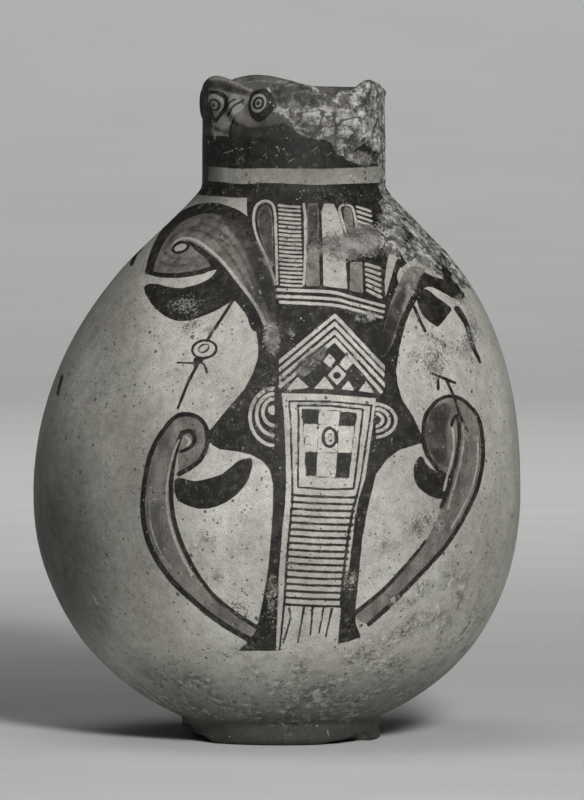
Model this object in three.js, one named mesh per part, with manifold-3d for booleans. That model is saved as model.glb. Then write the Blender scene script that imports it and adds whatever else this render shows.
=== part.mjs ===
// A painted earthenware jug: an egg-shaped hollow body on a low ring foot, leaning a little to one side,
// with a wide straight neck whose rim rises into four rounded ears. Between each two ears sits a small
// animal face, two bulging eyes over a snout. One face is worn down, and only its stump is left.
// Millimetres, +Z up, origin on the ground under the middle of the belly.
// -Y is the painted front, and azimuths are degrees counted from it, positive towards +X.

import * as THREE from "three";
import { mergeVertices } from "three/addons/utils/BufferGeometryUtils.js";
import Module from "manifold-3d";

// Body
const BELLY_RADIUS = 117.8;
const BELLY_HEIGHT = 120; // of the widest place above the ground
const LOWER_CLOSE = 0.8; // height at which the lower curve would close
const LOWER_FULLNESS = 2.12; // 2 is an ellipse, more is fuller
const UPPER_RISE = 148; // from the widest place to where the upper curve would close
const BODY_WALL = 7;
const FLOOR_THICKNESS = 8;

// Foot
const FOOT_RADIUS = 48;
const FOOT_HEIGHT = 10.5;
const FOOT_RING_WIDTH = 9;
const FOOT_RECESS = 4;
const FOOT_WAIST = 0.6; // how much the side of the foot draws in
const FOOT_EDGE = 0.9; // worn bevel of its outer edge

// Neck
const NECK_RADIUS = 44.2;
const NECK_LENGTH = 45.8; // from the shoulder to the rim between the ears
const NECK_WALL = 6.5;
const NECK_FILLET = 30; // difference in radius over which the body's curve runs into the neck
const RIM_EDGE = 2.2; // height of the rim's rounding

// The neck and the foot stand off to +X of the belly.
const FOOT_SHIFT = 1.9;
const NECK_SHIFT = 8.4;

// Ears of the rim: azimuth, degrees to where each runs out, height above the rim, and how far it stands out
const EARS = [
  { azimuth: -60, reach: 36, rise: 6.6, flare: 1.8 },
  { azimuth: -2, reach: 26, rise: 5, flare: 0.4 },
  { azimuth: 68, reach: 28, rise: 4.1, flare: -2.6 },
  { azimuth: 206, reach: 42, rise: 5.5, flare: 0.8 },
];
const EAR_DEPTH = 23; // how far under the rim the ears begin

// Faces between the ears: azimuth, and how much of the modelling is left
const FACES = [
  { azimuth: -39, left: 1 },
  { azimuth: 34, left: 0.4 },
  { azimuth: 137, left: 0.9 },
  { azimuth: 253, left: 0.9 },
];
const EYE_UNDER_RIM = 8;
const EYE_APART = 17.6; // degrees from the middle of the face
const EYE_WIDTH = 12;
const EYE_LENGTH = 14.5;
const EYE_BULGE = 3;
const SNOUT_UNDER_RIM = 11;
const SNOUT_WIDTH = 7;
const SNOUT_LENGTH = 15;
const SNOUT_BULGE = 4.5;

// How finely the surface is divided
const TURN_STEPS = 72;
const LOWER_ROWS = 8;
const UPPER_ROWS = 10;
const NECK_ROWS = 9;
const RIM_ROWS = 4;
const INNER_NECK_ROWS = 3;
const INNER_ROWS = 7;
const FEATURE_STEPS = 12;

// Worked out from the sizes above
const LOWER_DROP = BELLY_HEIGHT - LOWER_CLOSE;
const NECK_BOTTOM = BELLY_HEIGHT + UPPER_RISE;
const RIM_HEIGHT = NECK_BOTTOM + NECK_LENGTH;
const EAR_START = RIM_HEIGHT - EAR_DEPTH;
const FLOOR_HEIGHT = FOOT_RECESS + FLOOR_THICKNESS;

const { degToRad, lerp, smoothstep, euclideanModulo } = THREE.MathUtils;

// The larger of two radii, rounded over where they come near each other.
function softMax(a, b, blend) {
  const near = Math.max(blend - Math.abs(a - b), 0) / blend;
  return Math.max(a, b) + (near * near * blend) / 4;
}

// Radius of the outer skin at a height.
function outerRadius(height) {
  const rise = height - BELLY_HEIGHT;
  if (rise < 0) {
    return BELLY_RADIUS * Math.sqrt(1 - Math.min(-rise / LOWER_DROP, 1) ** LOWER_FULLNESS);
  }
  const body = BELLY_RADIUS * Math.sqrt(1 - Math.min(rise / UPPER_RISE, 1) ** 2);
  return softMax(body, NECK_RADIUS, NECK_FILLET);
}

// Radius of the inner skin at a height.
function innerRadius(height) {
  const rise = height - BELLY_HEIGHT;
  const widest = BELLY_RADIUS - BODY_WALL;
  if (rise < 0) {
    const drop = BELLY_HEIGHT - FLOOR_HEIGHT;
    return widest * Math.sqrt(1 - Math.min(-rise / drop, 1) ** LOWER_FULLNESS);
  }
  const body = widest * Math.sqrt(1 - Math.min(rise / (UPPER_RISE - BODY_WALL), 1) ** 2);
  return softMax(body, NECK_RADIUS - NECK_WALL, NECK_FILLET);
}

// Heights from one towards another, closer together where a round of that reach turns in. The last is left out.
function roundHeights(from, to, reach, rows) {
  const angle = (height) => Math.asin(THREE.MathUtils.clamp((height - BELLY_HEIGHT) / reach, -1, 1));
  return Array.from(
    { length: rows },
    (_, row) => BELLY_HEIGHT + reach * Math.sin(lerp(angle(from), angle(to), row / rows)),
  );
}

// Half of the section: out along the underside, up the outside, over the rim and down the inside.
function sectionPoints() {
  const points = [];
  const add = (radius, height) => points.push(new THREE.Vector2(radius, height));
  const outside = (height) => add(outerRadius(height), height);
  const inside = (height) => add(innerRadius(height), height);

  const ringInside = FOOT_RADIUS - FOOT_RING_WIDTH;
  add(0, FOOT_RECESS);
  add(ringInside - FOOT_RECESS, FOOT_RECESS);
  add(ringInside, 0);
  add(FOOT_RADIUS - FOOT_EDGE, 0);
  add(FOOT_RADIUS, FOOT_EDGE);
  add(FOOT_RADIUS - FOOT_WAIST, FOOT_HEIGHT / 2);

  const flareTop = NECK_BOTTOM - BODY_WALL;
  const outerTop = RIM_HEIGHT - RIM_EDGE;
  roundHeights(FOOT_HEIGHT, BELLY_HEIGHT, LOWER_DROP, LOWER_ROWS).forEach(outside);
  roundHeights(BELLY_HEIGHT, flareTop, UPPER_RISE, UPPER_ROWS).forEach(outside);
  for (let row = 0; row <= NECK_ROWS; row++) {
    outside(lerp(flareTop, outerTop, row / NECK_ROWS));
  }

  for (let row = 1; row < RIM_ROWS; row++) {
    const turn = (Math.PI * row) / RIM_ROWS;
    const middle = NECK_RADIUS - NECK_WALL / 2;
    add(middle + (NECK_WALL / 2) * Math.cos(turn), outerTop + RIM_EDGE * Math.sin(turn));
  }

  for (let row = 0; row < INNER_NECK_ROWS; row++) {
    inside(lerp(outerTop, flareTop, row / INNER_NECK_ROWS));
  }
  roundHeights(flareTop, BELLY_HEIGHT, UPPER_RISE - BODY_WALL, INNER_ROWS).forEach(inside);
  roundHeights(BELLY_HEIGHT, FLOOR_HEIGHT, BELLY_HEIGHT - FLOOR_HEIGHT, INNER_ROWS).forEach(inside);
  add(0, FLOOR_HEIGHT);
  return points;
}

// A smooth hump, 1 in the middle and 0 from the edge outwards.
function hump(distance) {
  return Math.max(1 - distance * distance, 0) ** 2;
}

// Moves a point of the plain section of revolution to its place on the jug.
function placed(radius, azimuth, height) {
  let rise = 0;
  let flare = 0;
  for (const ear of EARS) {
    const turn = euclideanModulo(azimuth - ear.azimuth + 180, 360) - 180;
    const share = hump(turn / ear.reach);
    rise += ear.rise * share;
    flare += ear.flare * share;
  }
  const up = Math.max(height - EAR_START, 0) / EAR_DEPTH;
  const r = radius + flare * smoothstep(up, 0, 1);
  const footShift = FOOT_SHIFT * (1 - smoothstep(height, 0, BELLY_HEIGHT));
  const neckShift = NECK_SHIFT * smoothstep(height, BELLY_HEIGHT, NECK_BOTTOM);
  const turn = degToRad(azimuth);
  return new THREE.Vector3(
    footShift + neckShift + r * Math.sin(turn),
    -r * Math.cos(turn),
    height + rise * up,
  );
}

// The hollow vessel: the lathed section with each point moved to its place.
function vesselGeometry() {
  const points = sectionPoints();
  const geometry = new THREE.LatheGeometry(points, TURN_STEPS);
  const position = geometry.getAttribute("position");
  for (let i = 0; i < position.count; i++) {
    const { x: radius, y: height } = points[i % points.length];
    const step = Math.floor(i / points.length) % TURN_STEPS;
    position.setXYZ(i, ...placed(radius, (360 * step) / TURN_STEPS, height));
  }
  return geometry;
}

// An egg half sunk in the side of the neck, at an azimuth and a depth under the rim.
function eggOnNeck(azimuth, underRim, width, length, bulge) {
  const height = RIM_HEIGHT - underRim;
  return new THREE.SphereGeometry(1, FEATURE_STEPS, FEATURE_STEPS / 2)
    .rotateX(Math.PI / 2)
    .scale(width / 2, bulge, length / 2)
    .rotateZ(degToRad(azimuth))
    .translate(...placed(NECK_RADIUS, azimuth, height));
}

// The eyes and the snout of one face.
function faceGeometries({ azimuth, left }) {
  const eye = (side) =>
    eggOnNeck(azimuth + side * EYE_APART, EYE_UNDER_RIM, EYE_WIDTH, EYE_LENGTH, EYE_BULGE * left);
  const snout = eggOnNeck(azimuth, SNOUT_UNDER_RIM, SNOUT_WIDTH, SNOUT_LENGTH, SNOUT_BULGE * left);
  return [eye(-1), eye(1), snout];
}

const wasm = await Module();
wasm.setup();

function solidOf(geometry) {
  geometry.deleteAttribute("normal");
  geometry.deleteAttribute("uv");
  const merged = mergeVertices(geometry);
  return new wasm.Manifold(
    new wasm.Mesh({
      numProp: 3,
      vertProperties: merged.getAttribute("position").array,
      triVerts: new Uint32Array(merged.index.array),
    }),
  );
}

function geometryOf(solid) {
  const { vertProperties, triVerts } = solid.getMesh();
  const geometry = new THREE.BufferGeometry();
  geometry.setAttribute("position", new THREE.BufferAttribute(vertProperties, 3));
  geometry.setIndex(new THREE.BufferAttribute(triVerts, 1));
  geometry.computeVertexNormals();
  return geometry;
}

const features = FACES.flatMap(faceGeometries).map(solidOf);
const jugSolid = features.reduce((joined, feature) => joined.add(feature), solidOf(vesselGeometry()));

const earthenware = new THREE.MeshStandardMaterial({ color: 0xb4afa2, roughness: 0.7, metalness: 0 });

const jug = new THREE.Mesh(geometryOf(jugSolid), earthenware);
jug.name = "jug";

const part = new THREE.Group();
part.add(jug);

export default part;
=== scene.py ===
"""A painted earthenware jug with four small animal faces under its eared rim, on a pale floor."""

import math

import bpy
import numpy as np
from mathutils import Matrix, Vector


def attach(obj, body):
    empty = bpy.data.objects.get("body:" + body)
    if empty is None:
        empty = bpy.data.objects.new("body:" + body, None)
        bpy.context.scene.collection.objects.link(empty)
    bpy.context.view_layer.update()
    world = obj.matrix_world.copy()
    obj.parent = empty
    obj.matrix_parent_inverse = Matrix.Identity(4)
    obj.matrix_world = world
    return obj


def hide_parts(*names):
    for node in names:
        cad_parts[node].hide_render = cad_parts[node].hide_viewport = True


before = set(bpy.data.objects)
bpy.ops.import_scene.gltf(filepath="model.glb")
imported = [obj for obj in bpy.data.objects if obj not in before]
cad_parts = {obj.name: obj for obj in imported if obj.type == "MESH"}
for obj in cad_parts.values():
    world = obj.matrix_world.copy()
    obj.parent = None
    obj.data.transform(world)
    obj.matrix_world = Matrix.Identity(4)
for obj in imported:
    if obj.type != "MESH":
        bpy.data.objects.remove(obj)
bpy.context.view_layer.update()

MM = 0.001

# The jug, in millimetres, in the frame of the solid that it replaces. -Y is the painted front.
BELLY_RADIUS = 117.8
BELLY_HEIGHT = 120.0
LOWER_CLOSE = 0.8
LOWER_FULLNESS = 2.12
UPPER_RISE = 148.0
BODY_WALL = 7.0
FLOOR_THICKNESS = 8.0
FOOT_RADIUS = 48.0
FOOT_HEIGHT = 10.5
FOOT_RING_WIDTH = 9.0
FOOT_RECESS = 4.0
FOOT_WAIST = 0.6
FOOT_EDGE = 1.2
NECK_RADIUS = 44.2
NECK_LENGTH = 45.8
NECK_WALL = 6.5
NECK_FILLET = 30.0
RIM_EDGE = 2.6
FOOT_SHIFT = 1.9
NECK_SHIFT = 8.4
EAR_DEPTH = 23.0
# Ears of the rim: azimuth, degrees to where each runs out, height above the rim, and how far it stands out
EARS = [(-60, 36, 6.6, 1.8), (-2, 26, 5.0, 0.4), (68, 28, 4.1, -2.6), (206, 42, 5.5, 0.8)]
# Losses of the foot: a broken corner and a worn edge
CORNER_LOSS = -78.0  # azimuth
CORNER_START = 37.5  # from the foot's axis
CORNER_SLOPE = 0.75
EDGE_LOSS = (18.0, 60.0)  # azimuths
EDGE_LOSS_RISE = 4.4
EDGE_LOSS_FADE = 3.0  # degrees over which it ends
# Faces: azimuth in degrees, and how much of the modelling is left
FACES = [(-39, 1.0), (34, 0.35), (137, 0.9), (253, 0.45)]
EYE_UNDER_RIM = 8.0
EYE_APART = 17.6  # degrees
EYE_SIZE = (12.0, 14.5, 2.9)
SNOUT_UNDER_RIM = 10.5
SNOUT_SIZE = (8.0, 17.0, 4.2)
SNOUT_LEAN = 0.25
EYE_ROUNDNESS = 0.65

NECK_BOTTOM = BELLY_HEIGHT + UPPER_RISE
RIM_HEIGHT = NECK_BOTTOM + NECK_LENGTH
LOWER_DROP = BELLY_HEIGHT - LOWER_CLOSE
FLOOR_HEIGHT = FOOT_RECESS + FLOOR_THICKNESS
FACES_START = NECK_BOTTOM + 14  # the modelled faces lie above this height
POLE_RADIUS = 3.0  # where the skin's columns end, round the middle of the floor and of the underside

# The camera, and the plane that the painting is drawn on: seen from it, in steps of STEP, counted
# from the frame's top left corner
STEP = 0.4827
FRAME_WIDTH = 584
FRAME_HEIGHT = 800
CAMERA_AIM = np.array([7.24, 0.0, 163.2])
CAMERA_DISTANCE = 5000.0
CAMERA_ELEVATION = math.radians(3.2)
SENSOR = 36.0

# How finely the skin is divided: columns round the jug, and how often a cell is halved at a paint edge
COLUMNS = 112
HALVINGS = 3
UNIT = 2**HALVINGS
HIDDEN_COARSENESS = 0.5  # share of the rows that the inside and the underside get
EDGE_BEND = 0.2  # how far a paint edge may miss its true place before its cell is halved again
EDGE_REACH = 0.42  # share of a cell's width within which a paint edge counts as close
EDGE_REACH_LEAST = 0.5  # the same in millimetres, where cells are small
DENSE_REACH = 0.4  # share of a cell's width within which lines count as lying close together
FLAKED_CELL, NECK_CELL = 1.0, 1.3  # widest cell of flaked clay, and of the upper neck
FAR = 8.0  # steps beyond which a distance isn't measured


def lattice(cells, seed):
    x, y, z = (cells[:, i].astype(np.int64) for i in range(3))
    h = (x * 73856093) ^ (y * 19349663) ^ (z * 83492791) ^ (seed * 2654435761)
    h = (h ^ (h >> 13)) * 1274126177 & 0xFFFFFFFF
    return ((h ^ (h >> 16)) & 0xFFFF) / 65535.0


def noise(points, size, seed=0):
    """Smooth noise from -1 to 1 with lumps of that size."""
    p = points / size
    base = np.floor(p)
    f = p - base
    f = f * f * (3 - 2 * f)
    total = np.zeros(len(p))
    for corner in np.ndindex(2, 2, 2):
        total += np.prod(np.where(corner, f, 1 - f), axis=1) * lattice(base + corner, seed)
    return 2 * total - 1


def rough_noise(points, size, octaves, seed=0):
    total = np.zeros(len(points))
    share = 1.0
    for i in range(octaves):
        total += share * noise(points, size / 2**i, seed + 17 * i)
        share *= 0.55
    return total


def smoothstep(x, low, high):
    t = np.clip((x - low) / (high - low), 0, 1)
    return t * t * (3 - 2 * t)


def hump(distance):
    return np.clip(1 - distance**2, 0, 1) ** 2


def soft_max(a, b, blend):
    near = np.clip(blend - np.abs(a - b), 0, None) / blend
    return np.maximum(a, b) + near * near * blend / 4


def skin_radius(z, inset, drop, neck_radius):
    """Radius at a height of the outer skin, or of the inner one, which is inset by the wall."""
    rise = z - BELLY_HEIGHT
    widest = BELLY_RADIUS - inset
    lower = widest * np.sqrt(1 - np.clip(-rise / drop, 0, 1) ** LOWER_FULLNESS)
    upper = widest * np.sqrt(1 - np.clip(rise / (UPPER_RISE - inset), 0, 1) ** 2)
    return np.where(rise < 0, lower, soft_max(upper, neck_radius, NECK_FILLET))


def wall(low, high, count, *skin):
    """Points of one skin between two heights, closer together at the ends."""
    heights = low + (high - low) * (1 - np.cos(np.linspace(0, math.pi, count))) / 2
    return [(float(skin_radius(z, *skin)), z) for z in heights]


def section():
    """Half of the section as (radius, height) points, and where its outside begins and ends."""
    ring = FOOT_RADIUS - FOOT_RING_WIDTH
    outer_top = RIM_HEIGHT - RIM_EDGE
    under = [(POLE_RADIUS, FOOT_RECESS), (ring - FOOT_RECESS, FOOT_RECESS), (ring - 1.5, 1.0), (ring, 0.15)]
    under += [(ring + 0.8, 0.0), (FOOT_RADIUS - FOOT_EDGE, 0.0)]
    edge = [(FOOT_RADIUS - FOOT_EDGE * (1 - math.sin(t)), FOOT_EDGE * (1 - math.cos(t))) for t in (0.5, 1.0)]
    foot = edge + [(FOOT_RADIUS, FOOT_EDGE), (FOOT_RADIUS - FOOT_WAIST, FOOT_HEIGHT * 0.55)]
    body = wall(FOOT_HEIGHT, outer_top, 400, 0, LOWER_DROP, NECK_RADIUS)
    turns = np.linspace(0, math.pi, 14)[1:-1]
    half = NECK_WALL / 2
    rim = [(NECK_RADIUS - half + half * math.cos(t), outer_top + RIM_EDGE * math.sin(t)) for t in turns]
    floor = FLOOR_HEIGHT + 0.05
    hollow = wall(outer_top, floor, 300, BODY_WALL, BELLY_HEIGHT - FLOOR_HEIGHT, NECK_RADIUS - NECK_WALL)
    points = np.array(under + foot + body + rim + hollow + [(POLE_RADIUS, FLOOR_HEIGHT)])
    return points, np.cumsum([len(under) - 1, len(foot) + len(body) + len(rim)])


def row_table():
    """The section cut into rows so that the cells come out about square."""
    points, (outer_start, outer_end) = section()
    step = np.hypot(*np.diff(points, axis=0).T)
    radius = np.maximum((points[1:, 0] + points[:-1, 0]) / 2, 30)
    share = step / radius * COLUMNS / (2 * math.pi)
    share[:outer_start] *= HIDDEN_COARSENESS
    share[outer_end:] *= HIDDEN_COARSENESS
    travelled = np.concatenate([[0], np.cumsum(share)])
    rows = int(math.ceil(travelled[-1]))
    travelled *= rows / travelled[-1]
    return points, travelled, rows, travelled[outer_start], travelled[outer_end]


SECTION, TRAVELLED, ROWS, OUTER_START, OUTER_END = row_table()


def turn_between(azimuth, other):
    return (azimuth - other + 180) % 360 - 180


def ear_shares(azimuth):
    rise = np.zeros(len(azimuth))
    flare = np.zeros(len(azimuth))
    for middle, reach, up, out in EARS:
        share = hump(turn_between(azimuth, middle) / reach)
        rise += up * share
        flare += out * share
    return rise, flare


def on_jug(radius, azimuth, height):
    """Moves points of the plain section to their places on the leaning, eared jug."""
    rise, flare = ear_shares(azimuth)
    up = np.clip((height - RIM_HEIGHT + EAR_DEPTH) / EAR_DEPTH, 0, None)
    r = radius + flare * smoothstep(up, 0, 1)
    shift = FOOT_SHIFT * (1 - smoothstep(height, 0, BELLY_HEIGHT))
    shift = shift + NECK_SHIFT * smoothstep(height, BELLY_HEIGHT, NECK_BOTTOM)
    turn = np.radians(azimuth)
    return np.stack([shift + r * np.sin(turn), -r * np.cos(turn), height + rise * up], axis=1)


def plain_surface(u, v):
    """Points of the skin at whole-number grid places, with their azimuth and whether they are outside."""
    row = v / UNIT
    radius = np.interp(row, TRAVELLED, SECTION[:, 0])
    height = np.interp(row, TRAVELLED, SECTION[:, 1])
    azimuth = 360.0 * u / (COLUMNS * UNIT)
    outside = (row > OUTER_START) & (row < OUTER_END)
    return on_jug(radius, azimuth, height), azimuth, outside


def seen_from_front(points):
    """Where points lie on the painting's plane."""
    side = np.where(points[:, 1] > 0, -1.0, 1.0)
    p = points * np.stack([np.ones(len(points)), side, np.ones(len(points))], axis=1) - CAMERA_AIM
    sin, cos = math.sin(CAMERA_ELEVATION), math.cos(CAMERA_ELEVATION)
    depth = CAMERA_DISTANCE + p[:, 1] * cos - p[:, 2] * sin
    scale = CAMERA_DISTANCE / depth / STEP
    across = FRAME_WIDTH / 2 + p[:, 0] * scale
    down = FRAME_HEIGHT / 2 - (p[:, 2] * cos + p[:, 1] * sin) * scale
    return np.stack([across, down], axis=1)


def smooth_path(points, closed=False, cuts=5):
    """A Catmull-Rom curve through the points."""
    p = np.array(points, float)
    if closed:
        p = np.concatenate([p[-1:], p, p[:2]])
    else:
        p = np.concatenate([2 * p[:1] - p[1:2], p, 2 * p[-1:] - p[-2:-1]])
    result = []
    for a, b, c, d in zip(p, p[1:], p[2:], p[3:]):
        for i in range(cuts):
            t = i / cuts
            bend = (2 * a - 5 * b + 4 * c - d) * t**2 + (3 * b - a - 3 * c + d) * t**3
            result.append(0.5 * (2 * b + (c - a) * t + bend))
    if not closed:
        result.append(p[-2])
    return np.array(result)


def to_path(p, path, closed):
    """Distance from points to a path, how far along it the nearest place is, and whether inside if closed."""
    best = np.full(len(p), 1e9)
    along = np.zeros(len(p))
    inside = np.zeros(len(p), bool)
    ends = np.roll(path, -1, axis=0) if closed else path[1:]
    starts = path if closed else path[:-1]
    for i, (a, b) in enumerate(zip(starts, ends)):
        d = b - a
        t = np.clip(((p - a) @ d) / max(d @ d, 1e-9), 0, 1)
        gap = np.hypot(*(p - a - t[:, None] * d).T)
        closer = gap < best
        best = np.where(closer, gap, best)
        along = np.where(closer, (i + t) / len(starts), along)
        if closed:
            crosses = (a[1] > p[:, 1]) != (b[1] > p[:, 1])
            x = a[0] + (p[:, 1] - a[1]) * d[0] / (d[1] if abs(d[1]) > 1e-9 else 1e-9)
            inside ^= crosses & (p[:, 0] < x)
    return best, along, inside


class Shape:
    """A painted shape: a signed distance in steps, positive inside, measured only near the shape."""

    def __init__(self, path, distance):
        self.low = path.min(0) - FAR - 6
        self.high = path.max(0) + FAR + 6
        self.distance = distance

    def __call__(self, p):
        result = np.full(len(p), -FAR)
        near = np.all((p > self.low) & (p < self.high), axis=1)
        if near.any():
            result[near] = np.clip(self.distance(p[near]), -FAR, FAR)
        return result


def line(points, width, taper=(1, 1), straight=False):
    path = np.array(points, float) if straight or len(points) < 3 else smooth_path(points)

    def distance(p):
        gap, along, _ = to_path(p, path, False)
        return width / 2 * (taper[0] + (taper[1] - taper[0]) * along) - gap

    return Shape(path, distance)


def lines(paths, width, taper=(1, 1)):
    return [line(path, width, taper) for path in paths]


def area(points, straight=False):
    path = np.array(points, float) if straight else smooth_path(points, closed=True)

    def distance(p):
        gap, _, inside = to_path(p, path, True)
        return np.where(inside, gap, -gap)

    return Shape(path, distance)


def polygon(points):
    return area(points, straight=True)


def oval(centre, across, down, turn=0):
    """A filled oval with those half sizes."""
    centre = np.array(centre, float)
    cos, sin = math.cos(math.radians(turn)), math.sin(math.radians(turn))
    reach = max(across, down)

    def distance(p):
        x, y = (p - centre).T
        x, y = x * cos + y * sin, y * cos - x * sin
        k = np.hypot(x / across, y / down)
        slope = np.hypot(x / across**2, y / down**2)
        return np.where(k > 1e-6, k * (1 - k) / np.maximum(slope, 1e-6), min(across, down))

    return Shape(np.array([centre - reach, centre + reach]), distance)


def ring(centre, across, down, width, turn=0):
    outer = oval(centre, across + width / 2, down + width / 2, turn)
    inner = oval(centre, across - width / 2, down - width / 2, turn)
    return Shape(np.array([outer.low, outer.high]), lambda p: np.minimum(outer(p), -inner(p)))


def cut(shape, left=-math.inf, right=math.inf):
    """A shape cut off beside two upright lines."""

    def distance(p):
        return np.minimum(shape(p), np.minimum(p[:, 0] - left, right - p[:, 0]))

    return Shape(np.array([shape.low, shape.high]), distance)


def between(start, end, share):
    return tuple(a + (b - a) * share for a, b in zip(start, end))


def rungs(left, right, count, width, sag=0.0, taper=(1, 1)):
    """Lines from one side to another, each side given by its top and bottom."""
    shapes = []
    for i in range(count):
        share = i / (count - 1)
        a, b = between(*left, share), between(*right, share)
        middle = between(a, b, 0.5)
        shapes.append(line([a, (middle[0], middle[1] + sag), b], width, taper))
    return shapes


LAYERS = INK, WASH, DARK, SPALLED = "ink", "wash", "dark", "spall"
PAINT, SCRAPE = 1, -1
strokes = []


def paint(layer, *shapes, back=False):
    strokes.extend((layer, PAINT, shape, back) for shape in shapes)


def reserve(*shapes, back=False, layers=(INK, DARK, WASH)):
    """Places kept free of paint, so that the ground shows."""
    for layer in layers:
        strokes.extend((layer, SCRAPE, shape, back) for shape in shapes)


def tint(layer, shape):
    """A thinner paint in place of the ink."""
    reserve(shape, layers=(INK,))
    paint(layer, shape)


# Left upper head, its long neck running into the column
LEFT_HEAD = [
    (248, 218), (232, 208), (210, 204), (190, 209), (171, 221), (157, 238), (150, 255), (146, 272),
    (160, 276), (178, 277), (197, 274), (214, 269), (224, 268), (236, 282), (250, 303), (262, 326),
    (270, 340), (279, 338), (280, 300), (270, 268), (258, 243),
]
LEFT_HEAD_BARE = LEFT_HEAD[:16] + [(272, 338), (276, 326), (276, 306), (272, 287), (266, 268), (258, 249)]
LEFT_NECK_DARK = [
    (214, 209), (236, 215), (252, 234), (268, 268), (279, 298), (281, 338), (274, 338), (265, 304),
    (253, 274), (243, 250), (228, 228),
]
LEFT_HEAD_RIM = [
    (254, 236), (244, 221), (229, 212), (210, 208), (191, 212), (173, 223.5), (160.5, 240), (153, 256),
    (149.5, 270),
]
LEFT_STREAKS = [
    [(208, 217), (226, 225), (243, 242), (256, 266), (266, 294)],
    [(200, 223), (218, 230), (235, 247), (249, 272), (261, 302)],
    [(189, 229), (209, 235), (227, 252), (242, 275), (255, 301)],
    [(170, 240), (182, 230), (201, 226)],
    [(211, 238), (220, 240), (229, 246)],
    [(160, 262), (174, 266), (192, 264)],
    [(165, 252), (172, 258), (186, 259)],
]
LEFT_LIP = [(147, 272), (160, 275), (178, 275.5), (197, 272.5), (214, 268)]
LEFT_THROAT = [
    (188, 241), (200, 246.5), (212, 256), (225, 267.5), (238, 283), (250, 299), (260, 315), (264, 332),
    (252, 330), (246, 315), (234, 300), (221, 287), (214, 278), (213, 270), (205, 258), (194, 249),
]
LEFT_NECK_LINE = [
    (172, 246), (177, 240.5), (186, 238), (197.5, 241), (209, 249.5), (223, 262), (237, 280), (249, 295.5),
    (258, 309), (265, 324),
]
LEFT_EYE_RIM = ((180.5, 247.5), 9.5, 6.2, -18)
LEFT_EYE_WHITE = ((180.5, 247.5), 6.6, 3.6, -18)
LEFT_JAW = [
    (144, 288), (154, 283.5), (176, 288), (195, 285), (210, 278), (221, 268), (232, 284), (238, 296),
    (229, 303), (218, 310), (202, 316.5), (188, 321), (175, 320.5), (162, 314), (151, 303),
]
LEFT_MOUTH = [
    (147, 279), (160, 279), (178, 279), (197, 276), (210, 271), (216.5, 270), (209, 278), (195, 283.5),
    (177, 286.5), (160, 283),
]
LEFT_WHISKER = [(235, 297), (224, 315), (214, 330), (207, 341)]
LEFT_KNOT = ((204.5, 349.5), 12, 8.8, 2.6, -8)
LEFT_KNOT_HOLE = ((204, 348.5), 5.6, 3.6, 1.8, -30)
LEFT_BOW = ((198.5, 360.5), 5, 4)
LEFT_BOW_END = [(178, 363), (193, 363.5)]
RIGHT_BOW_END = [(200, 361), (205, 366), (207, 373)]
LEFT_TAIL = [(200, 360), (196, 368), (188, 384), (178, 408.5)]

# Right upper head, half of it worn away
RIGHT_NECK = [
    (406, 270), (417, 266), (425, 272), (418, 287), (410, 300), (403, 315), (396, 335), (388, 352),
    (381, 357), (381, 340), (386, 320), (392, 300), (398, 285),
]
RIGHT_NECK_SHADE = [
    (405, 284), (405, 300), (401, 316), (394, 336), (386, 354), (380, 358), (379, 340), (385, 320),
    (392, 303),
]
RIGHT_NECK_LEFT = [(399, 262), (394, 276), (388, 300), (382, 322)]
RIGHT_NECK_RIGHT = [(425, 276), (413, 300), (404, 318), (398, 334)]
RIGHT_BEAK = [
    (424, 274), (431, 275.5), (442, 279), (453, 284), (463, 291), (465, 297), (459, 300), (449, 296),
    (438, 290), (428, 286.5), (420, 290),
]
RIGHT_JAW = [(416, 291), (426, 289), (437, 297), (451, 308), (447, 316), (440, 325), (435, 326), (421, 313)]
RIGHT_WHISKER = [(414, 307), (419, 319), (425, 331)]
RIGHT_BROW = [(457, 309), (467, 325), (473, 345), (480, 362)]
RIGHT_KNOT = [(431, 373), (445, 379), (455, 383)]
RIGHT_KNOT_END = [(438, 380), (438, 389)]
RIGHT_SLIT = [(390, 252), (397, 253), (394, 268), (388.5, 286), (385.5, 296), (385, 280), (387, 264)]
RIGHT_TAIL = [(446, 380), (454, 397), (459, 413), (467, 431)]

# The black column: its left and right edges from the neck down to the feet
COLUMN = [
    (246.7, 189), (247, 214), (258, 240), (270, 268), (279, 300), (262, 296), (237, 295.6), (249, 313),
    (256, 330), (258.5, 347), (258, 358), (253, 373), (244, 390), (233, 402), (219, 419), (210, 430),
    (208, 437), (212, 445), (220, 449.5), (235, 451), (250, 454.5), (262, 460.5), (270, 470), (273, 484),
    (273, 505), (271, 537), (268, 569), (264, 594), (257, 628), (250, 640), (238, 651), (256, 651),
    (277, 651), (300, 645), (338, 644), (350, 641), (361, 637), (356, 625), (355, 612), (359, 573),
    (362, 541), (367, 512), (371, 494), (376, 474), (387, 459), (399, 450), (422, 443), (424, 440),
    (412, 415), (402, 400), (397.5, 385), (396, 370), (400, 345), (405, 325), (413, 305), (404, 300),
    (399, 285), (393, 262), (387, 230), (387, 189),
]

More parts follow.
